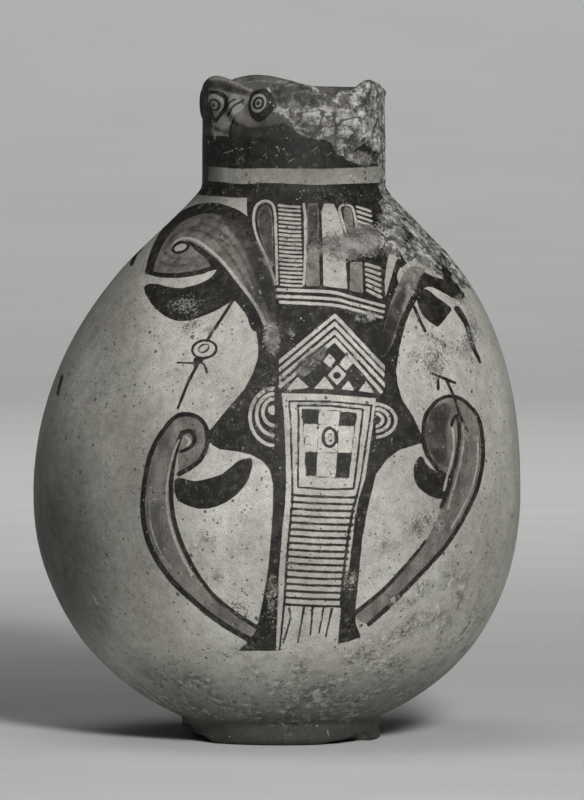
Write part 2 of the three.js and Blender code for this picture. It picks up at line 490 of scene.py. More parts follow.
# Upper panel
PETAL_LEFT = [
    (275, 284), (270, 267), (263, 251), (257, 237), (253.7, 222), (255, 209), (260, 202.5), (266, 201),
    (272, 204), (275, 213), (276, 237), (276.6, 262), (277, 284),
]
PETAL_FILL = [
    (259, 212), (264, 206), (269, 207), (272, 216), (273, 240), (273, 268), (267, 254), (261, 238),
    (258, 224),
]
PETAL_RUNGS = ((279, 205.5), (281, 285)), ((299.6, 207), (302, 286))
SECOND_LINE = [(303.8, 204), (305.2, 218), (305.4, 240), (305, 262), (303.8, 284)]
SECOND_FILL = [
    (308, 204), (317, 203), (318.6, 212), (319, 250), (319.5, 286), (306.5, 286), (307.5, 250),
    (306.8, 214),
]
SECOND_SHADE = [(307, 204), (318, 204), (319, 250), (307.5, 248)]
FIELD = [
    (324, 203.5), (334, 203.5), (337.5, 212), (343, 230), (345, 250), (347.5, 289), (323.5, 286),
    (322.5, 240), (321.5, 212),
]
THIRD_LINE = [(346, 232), (342.6, 222), (339.6, 209), (343, 205), (351, 206), (354.5, 214), (356.5, 228)]
THIRD_FILL = [(344, 209), (350, 209), (352.5, 218), (353, 230), (347, 230)]
UPPER_RUNGS = ((357, 206.5), (359, 226)), ((370.5, 211), (373, 231))
LOWER_RUNGS = ((366, 264), (367.5, 290)), ((379.5, 268), (381, 297))
FOURTH_FILL = [(350.5, 262), (362, 262), (363, 293), (349.8, 290)]
ARC_ENDS = [
    ((277.5, 290), (330, 292), (352, 297.3), (384, 306)),
    ((277.5, 296.4), (330, 298.8), (352, 303.5), (383.5, 312)),
    ((280, 302.2), (330, 304.8), (352, 309.2), (382, 317.6)),
]

# Gable: apex height, and the heights where its arms end at the sides
GABLE_MIDDLE = 334.8
GABLE_BANDS = [
    (315.5, (273.5, 367), (390.5, 374.5)), (323.6, (273.5, 375), (390, 382)),
    (331.8, (274.5, 382.8), (388.5, 389.8)), (339.8, (280, 387), (381, 392)),
]
GABLE_SIDES = (279, 384.5)
GABLE_TEETH = [
    [(285.4, 390.4), (298, 376.7), (309.5, 388)], [(314, 388.6), (324.8, 376.4), (334.5, 389.6)],
    [(341, 389.6), (348.2, 380.4), (354.2, 390.8)], [(358.5, 391.2), (365.7, 381.2), (374, 393)],
]
GABLE_SQUARES = [
    [(329.4, 353.5), (335.6, 360.4), (329.6, 367.4), (323, 361)],
    [(345.5, 356), (352.5, 363.8), (345.8, 371), (339, 363.6)],
    [(337, 365), (346.5, 374.6), (337, 385), (327.6, 375.4)],
]
GABLE_DOT = ((336.8, 375.6), 3.8, 3.6)
GABLE_RUB = [(300, 366), (322, 348), (326, 352), (320, 362), (306, 376), (299, 374)]
GABLE_SMEAR = [(298, 362), (322, 346), (328, 352), (320, 366), (306, 380), (297, 376)]

# Panel under the gable
PANEL = [
    (281.5, 393), (330, 394.5), (375.5, 398.5), (373.5, 420), (364.8, 479), (359, 497), (355, 517),
    (349, 569), (341, 606), (337.5, 646), (305, 646), (276, 650), (279, 573), (282, 534), (285.5, 500),
    (286.3, 479), (284.3, 417),
]
FRAME_ONE = [
    (292.5, 494), (292.2, 479), (290.4, 417), (288.8, 401.3), (330, 401.6), (371.2, 405.6), (369.6, 420),
    (360.6, 479), (357.6, 492),
]
FRAME_TWO = [
    (298.3, 487.3), (297.8, 470), (298.6, 417), (297.6, 405.4), (330, 405.8), (362.8, 409.6), (362, 417),
    (354.8, 479), (353.4, 488.8), (326, 489.4), (298.3, 487.3),
]
LADDER_LEFT = [(292.5, 494), (291.4, 510), (288, 545), (285.6, 580), (283.8, 607), (279.6, 650)]
LADDER_RIGHT = [(357.6, 492), (351.6, 516), (347, 545), (343.4, 576), (340.6, 606)]
CHECKS = [
    [(302, 409.4), (318.7, 410.4), (318, 424), (303.3, 423)],
    [(339.9, 411.8), (356.4, 413.4), (354.6, 426.4), (339, 425.6)],
    [(305.4, 452), (317, 452.4), (316.2, 476), (306.6, 475.4)],
    [(337, 453), (351, 453.6), (348.4, 478), (335.8, 477)],
]
CHECK_LINES = [
    [(302.6, 423.4), (355, 426)], [(304.8, 452), (351.4, 453.4)],
    [(318.6, 410), (316.2, 476)], [(339.8, 411), (335.8, 477)],
]
CHECK_RING = ((329.6, 437.4), 6.6, 9.2, 3.2)
CHECK_RING_HOLE = ((330.4, 437.4), 1.9, 4, 1.2)
FAINT_RING = ((307.6, 440.4), 2.6, 4.4, 1.2)
LADDER_RUNGS = ((292, 495), (284.4, 604)), ((355.5, 497.5), (341, 606.5))
CHECK_FRAME = [
    (302, 409.4), (330, 410.4), (356.4, 413.4), (348.4, 478.2), (326, 477.6), (306.4, 475.6), (302, 409.4),
]
FRINGE = [
    [(289, 608), (290.3, 617), (286.6, 632), (283.3, 643)], [(303.8, 608), (301, 625), (297.6, 643)],
    [(312.4, 608), (311.6, 622), (310.2, 635)], [(323.6, 608), (321, 622), (318.8, 633.5)],
    [(331.8, 609), (328.6, 624), (325.6, 637)],
]
LEFT_RINGS = [((275, 417), 25, 28.5), ((275, 414.6), 18.4, 21), ((275, 412.2), 12, 13.6)]
RIGHT_RINGS = [((374, 420.6), 21.5, 16.8), ((374, 420.2), 15, 11.4), ((374, 420), 8.6, 6.4)]
LEFT_RINGS_MIDDLE = ((274, 410), 6.2, 5)
LEFT_RINGS_END, RIGHT_RINGS_START = 274.6, 375.6

# Left lower hook
LEFT_HOOK_OUTER = [
    (207, 437), (205.5, 426), (198, 417.5), (186, 414), (175, 417.5), (165.5, 428), (157, 440), (150, 456),
    (145.5, 475), (142.5, 500), (143.5, 520), (147.5, 540), (155.5, 558), (165, 572.5), (175.5, 585),
    (190, 598), (205, 611), (220, 622), (235, 631.5), (250, 640),
]
LEFT_HOOK_LOOP = [
    (186, 414), (198, 417.5), (205.5, 426), (207.5, 437), (206, 449), (200, 460), (190, 468), (179, 474),
]
LEFT_HOOK_INNER = [
    (182, 433), (177.5, 445), (174, 460), (171.5, 480), (171.5, 500), (174, 520), (180, 540), (187.5, 557),
    (197, 574), (208, 589), (220, 601.5), (235, 613), (248, 621.5), (257, 627),
]
LEFT_HOOK_LIGHT = [
    (179, 440), (174, 452), (170, 468), (167.2, 484), (167, 502), (169.4, 521), (175.4, 541), (183, 559),
    (192, 575.5),
]
LEFT_HOOK_LIGHT_OUTER = [(149.5, 500), (150, 520), (154, 538), (161.5, 555), (171, 569)]
LEFT_SPIRAL = [(182, 433), (190, 431), (194.5, 437), (193.5, 444), (187.5, 449), (181, 451.5)]
LEFT_SPIRAL_LIGHT = [(186, 437), (190, 441), (187, 446)]
LEFT_CRESCENT = [
    (252, 459), (240, 460), (232, 466), (222, 474), (210, 478), (195, 481), (180, 478), (175, 481),
    (176, 497), (185, 504.5), (200, 509), (215, 507), (230, 500), (243, 488), (250, 475),
]

# Right lower hook
RIGHT_HOOK_OUTER = [
    (424, 431), (426, 416), (435, 402.5), (447, 396.5), (459, 398), (469, 405.5), (478, 417.5), (482, 436),
    (482.5, 459), (477.5, 486), (466.5, 511), (455, 532), (440, 553), (424, 570.5), (405, 590), (388, 607),
    (369, 624),
]
RIGHT_HOOK_LOOP = [
    (435, 402.5), (426, 415), (423.2, 431), (424.2, 446), (430, 459), (439, 470.5), (448, 477.5),
]
RIGHT_HOOK_RETURN = [
    (355, 613), (382, 591), (401, 571), (426, 541), (441, 507), (448, 478), (438, 471), (429, 459),
    (423.5, 446), (423.2, 431), (426, 415),
]
RIGHT_HOOK_SHADE = [
    (433, 409), (445, 402), (451, 410), (448, 425), (446, 445), (449, 466), (440, 465), (430, 454),
    (425, 440), (425, 427), (428, 416),
]
RIGHT_HOOK_INNER = [
    (451.5, 425), (454, 418), (458, 417.5), (459, 436), (456, 458), (451, 477), (447, 492), (441, 507),
]
RIGHT_HOOK_LIGHT = [(452, 428), (453.5, 440), (452.5, 455), (447.5, 474), (443.5, 490)]
RIGHT_HOOK_LIGHT_RIGHT = [(462.5, 422), (463.5, 440), (460, 462), (455, 482), (450, 498), (447, 512)]
RIGHT_HOOK_LIGHT_OUTER = [(477, 436), (477.3, 458), (472.5, 484), (461.5, 509), (450.5, 529)]
RIGHT_HOOK_LOWER = [(426, 541), (414, 556), (401, 571), (382, 591), (355, 613)]
SIDE_MARK_UPPER = [(131, 264), (136, 254), (142, 246)]
SIDE_MARK_LOWER = [(57.5, 394), (59.5, 385), (62, 376)]
RIGHT_CRESCENT = [
    (419, 457), (413.5, 468), (416, 484), (427, 494.5), (442, 499), (446, 488), (449, 478), (438, 473),
    (428, 466), (423, 458),
]


paint(INK, polygon(COLUMN), back=True)
reserve(area(LEFT_HEAD_BARE), back=True, layers=(INK,))
paint(WASH, area(LEFT_HEAD), back=True)
paint(DARK, area(LEFT_NECK_DARK), back=True)
paint(DARK, *lines(LEFT_STREAKS, 2.4, (1.2, 0.8)))
paint(INK, line(LEFT_HEAD_RIM, 9.5, (1.3, 0.8)), line(LEFT_LIP, 5, (0.9, 1.1)), area(LEFT_JAW), back=True)
paint(INK, area(LEFT_THROAT))
reserve(line(LEFT_NECK_LINE, 3.6, (0.6, 1.1)), back=True)
paint(INK, oval(*LEFT_EYE_RIM))
reserve(oval(*LEFT_EYE_WHITE))
reserve(area(LEFT_MOUTH), back=True)
paint(INK, line(LEFT_WHISKER, 3.2), line(LEFT_TAIL, 3.2, (1.1, 0.9)), ring(*LEFT_KNOT), ring(*LEFT_KNOT_HOLE))
paint(INK, oval(*LEFT_BOW), line(LEFT_BOW_END, 2.2), line(RIGHT_BOW_END, 2.4))

reserve(area(RIGHT_NECK))
paint(WASH, area(RIGHT_NECK))
paint(DARK, area(RIGHT_NECK_SHADE))
paint(INK, line(RIGHT_NECK_LEFT, 6, (1, 0.7)), line(RIGHT_NECK_RIGHT, 7, (1, 0.7)))
paint(INK, area(RIGHT_BEAK), area(RIGHT_JAW), line(RIGHT_BROW, 6.5, (1, 0.5)))
paint(INK, *lines([RIGHT_WHISKER, RIGHT_KNOT, RIGHT_KNOT_END, RIGHT_TAIL], 3))
reserve(area(RIGHT_SLIT))

reserve(line(PETAL_LEFT, 2.6))
tint(WASH, area(PETAL_FILL))
paint(DARK, area(PETAL_FILL))
reserve(*rungs(*PETAL_RUNGS, 20, 2.3, 0.3))
reserve(line(SECOND_LINE, 2.6))
tint(WASH, polygon(SECOND_FILL))
paint(DARK, polygon(SECOND_SHADE))
reserve(polygon(FIELD))
reserve(line(THIRD_LINE, 2.2))
tint(WASH, area(THIRD_FILL))
reserve(*rungs(*UPPER_RUNGS, 5, 2.3))
reserve(*rungs(*LOWER_RUNGS, 6, 3))
tint(WASH, polygon(FOURTH_FILL))
reserve(*lines(ARC_ENDS, 3.2, (1, 0.9)), back=True)

for apex, left, right in GABLE_BANDS:
    reserve(cut(line([left, (GABLE_MIDDLE, apex), right], 3.5, straight=True), *GABLE_SIDES), back=True)
reserve(*map(polygon, GABLE_TEETH + GABLE_SQUARES))
paint(INK, oval(*GABLE_DOT))
reserve(area(GABLE_RUB))
paint(DARK, area(GABLE_SMEAR))

reserve(*[cut(ring(*size, 3.5), right=LEFT_RINGS_END) for size in LEFT_RINGS])
reserve(cut(oval(*LEFT_RINGS_MIDDLE), right=LEFT_RINGS_END))
reserve(*[cut(ring(*size, 3.1), left=RIGHT_RINGS_START) for size in RIGHT_RINGS])

reserve(polygon(PANEL), back=True)
paint(INK, line(FRAME_ONE, 2.2, straight=True), line(FRAME_TWO, 2.3, straight=True), back=True)
paint(INK, line(LADDER_LEFT, 2.4), line(LADDER_RIGHT, 2.6), back=True)
paint(INK, *map(polygon, CHECKS), line(CHECK_FRAME, 1.2, straight=True), *lines(CHECK_LINES, 1))
paint(INK, ring(*CHECK_RING), ring(*CHECK_RING_HOLE))
paint(WASH, ring(*FAINT_RING))
paint(INK, *rungs(*LADDER_RUNGS, 17, 2.6, 0.6), back=True)
paint(INK, *lines(FRINGE, 2.1, (1.1, 0.8)))

paint(WASH, area(LEFT_HOOK_OUTER[3:] + LEFT_HOOK_INNER[::-1]), back=True)
paint(WASH, area(LEFT_HOOK_LOOP + LEFT_HOOK_LIGHT[:1]), back=True)
paint(INK, line(LEFT_HOOK_OUTER, 6, (0.7, 1)), back=True)
paint(INK, line(LEFT_HOOK_LOOP, 4.6, (0.9, 1.1)), line(LEFT_HOOK_INNER, 4.6, (1, 0.9)), back=True)
paint(INK, line(LEFT_SPIRAL, 4.6, (1.1, 0.7)), area(LEFT_CRESCENT))
reserve(line(LEFT_HOOK_LIGHT, 3, (0.6, 1)), line(LEFT_HOOK_LIGHT_OUTER, 1.6), line(LEFT_SPIRAL_LIGHT, 2))

paint(WASH, area(RIGHT_HOOK_OUTER[2:] + RIGHT_HOOK_RETURN), back=True)
paint(DARK, area(RIGHT_HOOK_SHADE))
paint(INK, line(RIGHT_HOOK_OUTER, 4.8, (0.7, 1)), line(RIGHT_HOOK_LOOP, 4.4), back=True)
paint(INK, line(RIGHT_HOOK_LOWER, 4, (0.8, 1.1)), back=True)
paint(INK, line(RIGHT_HOOK_INNER, 4.4, (0.8, 1)), area(RIGHT_CRESCENT))
reserve(line(RIGHT_HOOK_LIGHT, 2.4, (0.6, 1)), line(RIGHT_HOOK_LIGHT_RIGHT, 1.8, (0.6, 1)))
reserve(line(RIGHT_HOOK_LIGHT_OUTER, 1.6))
paint(INK, line(SIDE_MARK_UPPER, 3.5), line(SIDE_MARK_LOWER, 3), back=True)
UNDER_NECK = len(strokes)  # the strokes from here on lie over the bands of the neck

# Bands round the neck: paint, heights of its lower and upper edge, and how the upper one falls to the right
NECK_BANDS = [(INK, 276.4, 291.2, 0), (INK, 262.4, 269.2, 0.016), (WASH, 291.0, 340.0, 0)]

# Face on the neck's front
LEFT_EAR_BAND = [
    (202, 80), (214, 82), (228, 84), (240, 87.5), (249, 92), (241, 94.5), (226, 91), (212, 88), (201, 90),
]
LEFT_EAR_EDGE = [(211, 78), (225, 78.5), (238, 83), (251, 89.5)]
LEFT_BROW = [(199, 82), (207, 86), (207.5, 100), (208.5, 112), (212, 122), (205, 126), (199, 112)]
FOREHEAD = [
    (211, 92), (226, 92), (240, 95), (250, 97), (246, 104), (240, 113), (231, 123), (222, 134), (212, 137),
    (209, 120), (208, 104),
]
LEFT_EYE_DROP = [
    (209, 93), (216, 90), (224, 93), (228, 101), (226.5, 110), (220, 118), (215, 123), (210.5, 116),
    (207.5, 106),
]
LEFT_EYE_INNER = [
    (213, 95), (218, 93.5), (223, 98), (223.5, 106), (219.5, 112), (215, 118), (212, 111), (211, 102),
]
RIGHT_EYE_DROP = [
    (252, 92), (262, 89), (270, 91), (274.5, 99), (273.5, 109), (268, 117), (259, 122), (252, 118),
    (248.5, 109), (249, 99),
]
RIGHT_EYE_INNER = [
    (255, 96), (262, 94), (267, 98), (267.5, 105), (263.5, 110.5), (258.5, 112.5), (253.5, 109.5),
    (252.5, 102),
]
UNDER_EYES = [
    (232, 122), (248, 126), (266, 126), (284, 123), (298, 131), (318, 139), (328, 143), (300, 140),
    (260, 141), (232, 140),
]
NECK_SCRATCHES = [
    [(223, 153.6), (233, 150.4)], [(239, 150.4), (243, 148.6)], [(247, 137), (251, 135)],
    [(252, 142.5), (257, 142)], [(232, 138.6), (239, 137)], [(288, 162), (294, 158.6)],
    [(311, 152), (317, 147.6)], [(262, 156), (266, 153.6)], [(326, 156), (331, 153)],
    [(214, 168.5), (206, 166)], [(277, 146), (279, 151)], [(241, 157), (244, 161)],
]
LEFT_EDGE_DARK = [(202, 136), (208.5, 140), (209, 160), (208, 182), (200, 186)]
LEFT_EYE_RINGS = [((217.2, 104.5), 3.7, 5.4, 2.2, 8), ((217.2, 104.5), 0.8, 1.6, 1.4, 8)]
RIGHT_EYE_RINGS = [((260.4, 103), 4.3, 5.4, 2.6, 12), ((260.4, 103), 0.9, 1.6, 1.4, 12)]
UNDER_BROW = [(209, 126), (222, 131), (236, 134)]
NOSE_RIGHT = [(237, 99), (232, 105), (228, 115)]
NOSE_LEFT = [(243, 100), (238, 105), (235, 112)]
NOSE_LOWER = [(235, 116), (231, 126), (229.5, 138)]
NOSE_LIGHT = [(240, 108.5), (233.5, 108.5), (229, 120), (219.5, 131), (223, 134.5), (219, 138)]

paint(DARK, area(LEFT_EAR_BAND), area(UNDER_EYES), line(UNDER_BROW, 4))
reserve(line(LEFT_EAR_EDGE, 4), area(FOREHEAD), line(NOSE_LIGHT, 1.7), layers=(WASH,))
paint(INK, *map(area, [LEFT_EDGE_DARK, LEFT_BROW, LEFT_EYE_DROP, RIGHT_EYE_DROP]))
reserve(area(LEFT_EYE_INNER), area(RIGHT_EYE_INNER), layers=(INK, WASH))
paint(INK, *[ring(*size) for size in LEFT_EYE_RINGS + RIGHT_EYE_RINGS])
paint(INK, line(NOSE_RIGHT, 2.4, (0.8, 1.1)), line(NOSE_LEFT, 2), line(NOSE_LOWER, 2.4, (0.7, 1.2)))
reserve(*lines(NECK_SCRATCHES, 1.1, (0.5, 1)), layers=(INK,))

# Places where the surface has flaked off, and where it is rubbed: middle, half sizes, and strength
SPALL = [
    (258, 84), (272, 77), (302, 74), (325, 80), (352, 86), (366, 80), (380, 76), (392, 100), (394, 130),
    (394, 150), (391, 163), (384, 167), (369, 164), (356, 161), (345, 160), (338, 154), (340, 147),
    (330, 141), (318, 138.5), (306, 134), (295, 129), (286, 119), (276.5, 112), (276, 100), (268, 92),
]
SHOULDER_SPALL = [
    (384, 170), (398, 184), (416, 208), (440, 236), (458, 262), (470, 290), (466, 292), (452, 284),
    (438, 276), (428, 262), (414, 262), (402, 262), (392, 250), (380, 232), (384, 210), (380, 190),
]
RUBBED = [
    (290, 241, 16, 12, 0.55), (190, 306, 26, 13, 0.65), (470, 335, 10, 30, 0.75),
    (347, 247, 34, 17, 1.0), (366, 240, 26, 22, 1.0), (390, 236, 20, 26, 1.0),
    (318, 249, 14, 9, 0.7), (425, 250, 26, 26, 0.8), (272, 338, 9, 19, 1.2), (291, 330, 5, 10, 0.9),
    (228, 342, 20, 12, 0.35), (195, 325, 22, 12, 0.5), (310, 365, 18, 14, 0.55),
    (436, 360, 24, 32, 0.6), (424, 525, 24, 18, 0.7), (240, 607, 18, 16, 0.6),
    (372, 316, 8, 5, 0.7), (348, 582, 12, 16, 0.5), (272, 600, 9, 44, 0.6), (250, 648, 14, 8, 0.3),
    (352, 630, 12, 14, 0.3), (262, 375, 14, 40, 0.4), (372, 440, 16, 30, 0.35),
    (362, 158, 16, 10, 1.0), (413, 283, 10, 17, 0.8), (456, 300, 14, 10, 0.6),
]
CRUSTED = [
    (436, 350, 22, 34, 0.35), (462, 600, 40, 60, 0.6), (380, 550, 14, 40, 0.5),
    (213, 328, 14, 10, 0.5), (247, 345, 12, 9, 0.5), (430, 625, 55, 60, 0.65),
    (290, 688, 115, 22, 0.8), (385, 660, 60, 30, 0.7), (240, 640, 30, 20, 0.4),
]
# Darkened patches, most of them painted shade: on the left flank and the right side turned from the light,
# low on the belly, on the neck's left edge, and in the dent and clefts of the flaked face. The rest darken
# the neck, the face, parts of the painted front, and the lower end of the right neck's strap.
SHADE_AND_DARKENING_PATCHES = [
    (58, 560, 66, 130, 0.9), (383, 344, 12, 24, 1.0), (440, 520, 85, 110, 0.25),
    (400, 690, 60, 22, 0.5), (170, 690, 50, 25, 0.45), (70, 500, 50, 120, 0.35),
    (135, 520, 60, 110, 0.4), (205, 150, 26, 70, 0.9), (300, 140, 100, 60, 0.75),
    (120, 420, 48, 120, 0.3), (240, 105, 45, 28, 0.65), (275, 688, 60, 10, 0.35),
    (262, 292, 14, 44, 0.75), (300, 100, 24, 20, 1.0), (283, 95, 16, 15, 1.3),
    (336, 117, 5, 7, 1.2), (372, 91, 4, 9, 1.1), (317, 97, 13, 5, 0.9), (300, 78, 45, 5, 0.8),
    (311, 133, 22, 4, 0.9), (330, 100, 10, 6, 0.8), (357, 131, 8, 4, 0.6),
    (240, 400, 90, 120, 0.12),
]

# A dent and a knob in the flaked face: middle, half sizes, and depth or height in millimetres
DENT = (338, 117, 6.5, 9, 3.2)
KNOB = (351, 110, 9, 8, 2.2)
REMNANTS = [
    [(350, 153), (360, 148), (371, 149), (382, 155), (379, 161), (368, 164), (357, 161)],
    [(394, 229), (404, 225), (415, 231), (421, 239), (411, 242), (399, 238)],
    [(430, 255), (437, 251), (443, 258), (438, 265)],
    [(440, 261), (449, 267), (454, 279), (464, 294), (455, 293), (446, 284), (440, 272)],
    [(396, 262), (400, 254), (404, 262), (400, 268)],
]

flaked_shapes = [area(SPALL), area(SHOULDER_SPALL)]
remnant_shapes = [area(points) for points in REMNANTS]


# Crust and darkening by height on the jug, the low darkening being painted shade with some soiling: where
# each begins, and where it is full
LOW_CRUST, CRUST_OVER_FOOT = (45, 20), (8, 13)
LOW_SHADE_AND_DIRT, FOOT_SHADE_AND_DIRT = (62, -2), (14, 9)
NECK_DARKENING = (NECK_BOTTOM - 15, NECK_BOTTOM + 10)
# how dark the inside and the underside within the foot ring are made
INNER_DARKENING = 0.85


def patches(p, spots):
    """How strongly round patches with soft edges lie on each point."""
    total = np.zeros(len(p))
    for x, y, across, down, strength in spots:
        reach = np.hypot((p[:, 0] - x) / across, (p[:, 1] - y) / down)
        total = np.maximum(total, strength * np.clip(1.35 - reach, 0, 1))
    return total


def neck_bands(points):
    """The black bands and the wash round the neck: layers with distances in steps."""
    z = points[:, 2] + 0.7 * noise(points, 18, 5)
    for layer, low, high, fall in NECK_BANDS:
        yield layer, np.clip(np.minimum(z - low, high - fall * points[:, 0] - z) / STEP, -FAR, FAR)


def flaked_distance(place, p):
    """Distances in steps to the ragged edge of the flaked clay, and to the paint left on it."""
    warp = [
        5 * rough_noise(place, 7, 3, seed) + 2 * rough_noise(place, 2.5, 2, seed + 2) for seed in (71, 83)
    ]
    ragged = p + np.stack(warp, axis=1)
    edge = (5 + 6 * rough_noise(place, 9, 3, 95) - place[:, 1]) / STEP
    left = np.max([shape(ragged) for shape in remnant_shapes], axis=0)
    flaked = np.max([shape(ragged) for shape in flaked_shapes], axis=0)
    return np.maximum(np.min([flaked, edge, -left], axis=0), -FAR), left


def painted(points, outside):
    """All layers at points of the plain skin, as signed distances in steps, and the wear, the crust, and the
    painted shade and darkening, from 0 to 1.
    """
    p = seen_from_front(points)
    front = outside & (points[:, 1] <= 0)
    behind = outside & (points[:, 1] > 0)
    fields = {layer: np.full(len(p), -FAR) for layer in LAYERS}

    def apply(some_strokes):
        for layer, mode, shape, back in some_strokes:
            for where in (front, behind) if back else (front,):
                value = shape(p[where])
                old = fields[layer][where]
                fields[layer][where] = np.maximum(old, value) if mode == PAINT else np.minimum(old, -value)

    apply(strokes[:UNDER_NECK])
    for layer, band in neck_bands(points[outside]):
        fields[layer][outside] = np.maximum(fields[layer][outside], band)
    apply(strokes[UNDER_NECK:])
    near = outside & (points[:, 1] < 14)
    fields[SPALLED][near], left = flaked_distance(points[near], p[near])
    fields[INK][near] = np.maximum(fields[INK][near], left)

    shown = np.where(outside, smoothstep(points[:, 1], 70, 0), 0)
    height = points[:, 2]
    low_crust = 0.7 * smoothstep(height, *LOW_CRUST) * smoothstep(height, *CRUST_OVER_FOOT)
    # Painted shade low on the belly and on the foot, which lie in the belly's shade, with some soiling; the
    # neck is darkened by height too.
    low_shade_and_dirt = smoothstep(height, *LOW_SHADE_AND_DIRT) + 0.1 * smoothstep(height, *FOOT_SHADE_AND_DIRT)
    darkening_by_height = np.maximum(low_shade_and_dirt, 0.5 * smoothstep(height, *NECK_DARKENING))
    fields["rubbed"] = shown * patches(p, RUBBED)
    fields["crust"] = np.maximum(shown * patches(p, CRUSTED), np.where(outside, low_crust, 0))
    # Painted shade and darkening: the patches on the front, the darkening by height, and the inside made dark
    # throughout
    fields["shade_and_darkening"] = np.maximum(shown * patches(p, SHADE_AND_DARKENING_PATCHES), np.where(outside, darkening_by_height, INNER_DARKENING))
    return fields


def grid_cells():
    """Cells of the skin, halved again and again near paint edges: (column, row, size) in units."""
    u, v = np.meshgrid(np.arange(COLUMNS) * UNIT, np.arange(ROWS) * UNIT)
    current = np.stack([u.ravel(), v.ravel()], axis=1)
    size = UNIT
    finished = []
    while size > 1:
        half = size // 2
        samples = [current + (a * half, b * half) for a, b in ((0, 0), (2, 0), (0, 2), (2, 2), (1, 1))]
        keys, back = np.unique(np.concatenate(samples), axis=0, return_inverse=True)
        points, _, outside = plain_surface(keys[:, 0], keys[:, 1])
        fields = painted(points, outside)
        width = 2 * math.pi * np.hypot(points[:, 0], points[:, 1]) * size / (COLUMNS * UNIT)
        layers = np.array([fields[name] for name in LAYERS]) * STEP
        close = outside & (np.abs(layers) < np.maximum(EDGE_REACH * width, EDGE_REACH_LEAST))
        relief = (fields[SPALLED] > 0) & (width > FLAKED_CELL)
        relief |= (points[:, 2] > FACES_START) & (width > NECK_CELL)
        members = back.reshape(5, -1)
        a, b, c, d, middle = np.moveaxis(layers[:, members], 1, 0)
        bend = np.maximum(np.abs((a + d) / 2 - middle), np.abs((b + c) / 2 - middle))
        largest = np.max(np.abs([a, b, c, d, middle]), axis=0)
        dense = (largest < DENSE_REACH * width[members[4]]) & (size > 2)
        uneven = (bend > EDGE_BEND) | dense | (size == UNIT)
        split = (close[:, members].any(axis=1) & uneven).any(axis=0) | (relief & outside)[members].any(axis=0)
        finished.append(np.column_stack([current[~split], np.full((~split).sum(), size)]))
        current = np.concatenate([current[split] + (a, b) for a in (0, half) for b in (0, half)])
        size = half
    finished.append(np.column_stack([current, np.ones(len(current), int)]))
    return np.concatenate(finished)


def skin_mesh():
    """Corners and faces of the skin. A cell takes up its smaller neighbours' corners, so nothing gapes."""
    cells = grid_cells().tolist()
    around = COLUMNS * UNIT
    corners = {}
    for u, v, size in cells:
        for a, b in ((u, v), (u + size, v), (u + size, v + size), (u, v + size)):
            corners.setdefault((a % around, b), len(corners))
    faces = []
    for u, v, size in cells:
        edge = [(u + i, v) for i in range(size)] + [(u + size, v + i) for i in range(size)]
        edge += [(u + size - i, v + size) for i in range(size)] + [(u, v + size - i) for i in range(size)]
        faces.append([corners[(a % around, b)] for a, b in edge if (a % around, b) in corners])
    for row, pole in ((0, len(corners)), (ROWS * UNIT, len(corners) + 1)):
        loop = [corners[(u, row)] for u in sorted(u for u, v in corners if v == row)]
        for pair in zip(loop, loop[1:] + loop[:1]):
            faces.append([pole, *(pair if row else pair[::-1])])
    return np.array(list(corners)), faces


def flaking(points, fields):
    """How deep the skin has flaked away, in millimetres, and how much painted shade lies in its hollows."""
    depth = smoothstep(fields[SPALLED], -0.5, 3)
    rocky = rough_noise(points * (1, 1, 1.5), 11, 4, 40)
    ledges = np.abs(rough_noise(points * (1, 1, 1.8), 8, 2, 61))
    strength = np.where(points[:, 2] > NECK_BOTTOM - 4, 1.0, 0.55)
    gone = depth * strength * np.clip(1.3 + 1.7 * rocky - 1.2 * ledges, -0.6, 3.4)
    # painted shade in the low places and under the ledges of the flaked clay
    hollow = depth * np.maximum(0.8 * smoothstep(rocky, 0.1, 0.9), smoothstep(ledges, 0.2, 0.0))
    return gone, hollow


def lump(points, azimuth, middle, under_rim, size, power, lean=0.0):
    """How far an egg-shaped lump stands out of the neck, in millimetres."""
    rise, _ = ear_shares(np.full(1, float(middle)))
    across = NECK_RADIUS * np.radians(turn_between(azimuth, middle))
    up = points[:, 2] - (RIM_HEIGHT - under_rim) - rise[0] * (1 - under_rim / EAR_DEPTH)
    reach = np.hypot((across + lean * up) / (size[0] / 2), up / (size[1] / 2))
    return size[2] * np.clip(1 - reach**2, 0, 1) ** power


def mound(p, x, y, across, down, height):
    return height * hump(np.hypot((p[:, 0] - x) / across, (p[:, 1] - y) / down))


def displacement(points, azimuth, outside, fields):
    """How far the true skin stands out of the plain one, in millimetres."""
    faces = 0
    for middle, left in FACES:
        for side in (-1, 1):
            eye = lump(points, azimuth, middle + side * EYE_APART, EYE_UNDER_RIM, EYE_SIZE, EYE_ROUNDNESS)
            faces = faces + left * eye
        faces = faces + left * lump(points, azimuth, middle, SNOUT_UNDER_RIM, SNOUT_SIZE, 1.2, SNOUT_LEAN)
    gone, fields["hollow"] = flaking(points, fields)
    p = seen_from_front(points)
    dent, knob = mound(p, *DENT), mound(p, *KNOB)
    thin = 0.25 * fields["rubbed"] * (1 + noise(points, 4, 9))
    front = outside & (points[:, 1] < 0)
    uneven = 0.35 * rough_noise(points, 46, 3, 3)
    return uneven + np.where(outside, faces - gone, 0) + np.where(front, knob - dent - thin, 0)


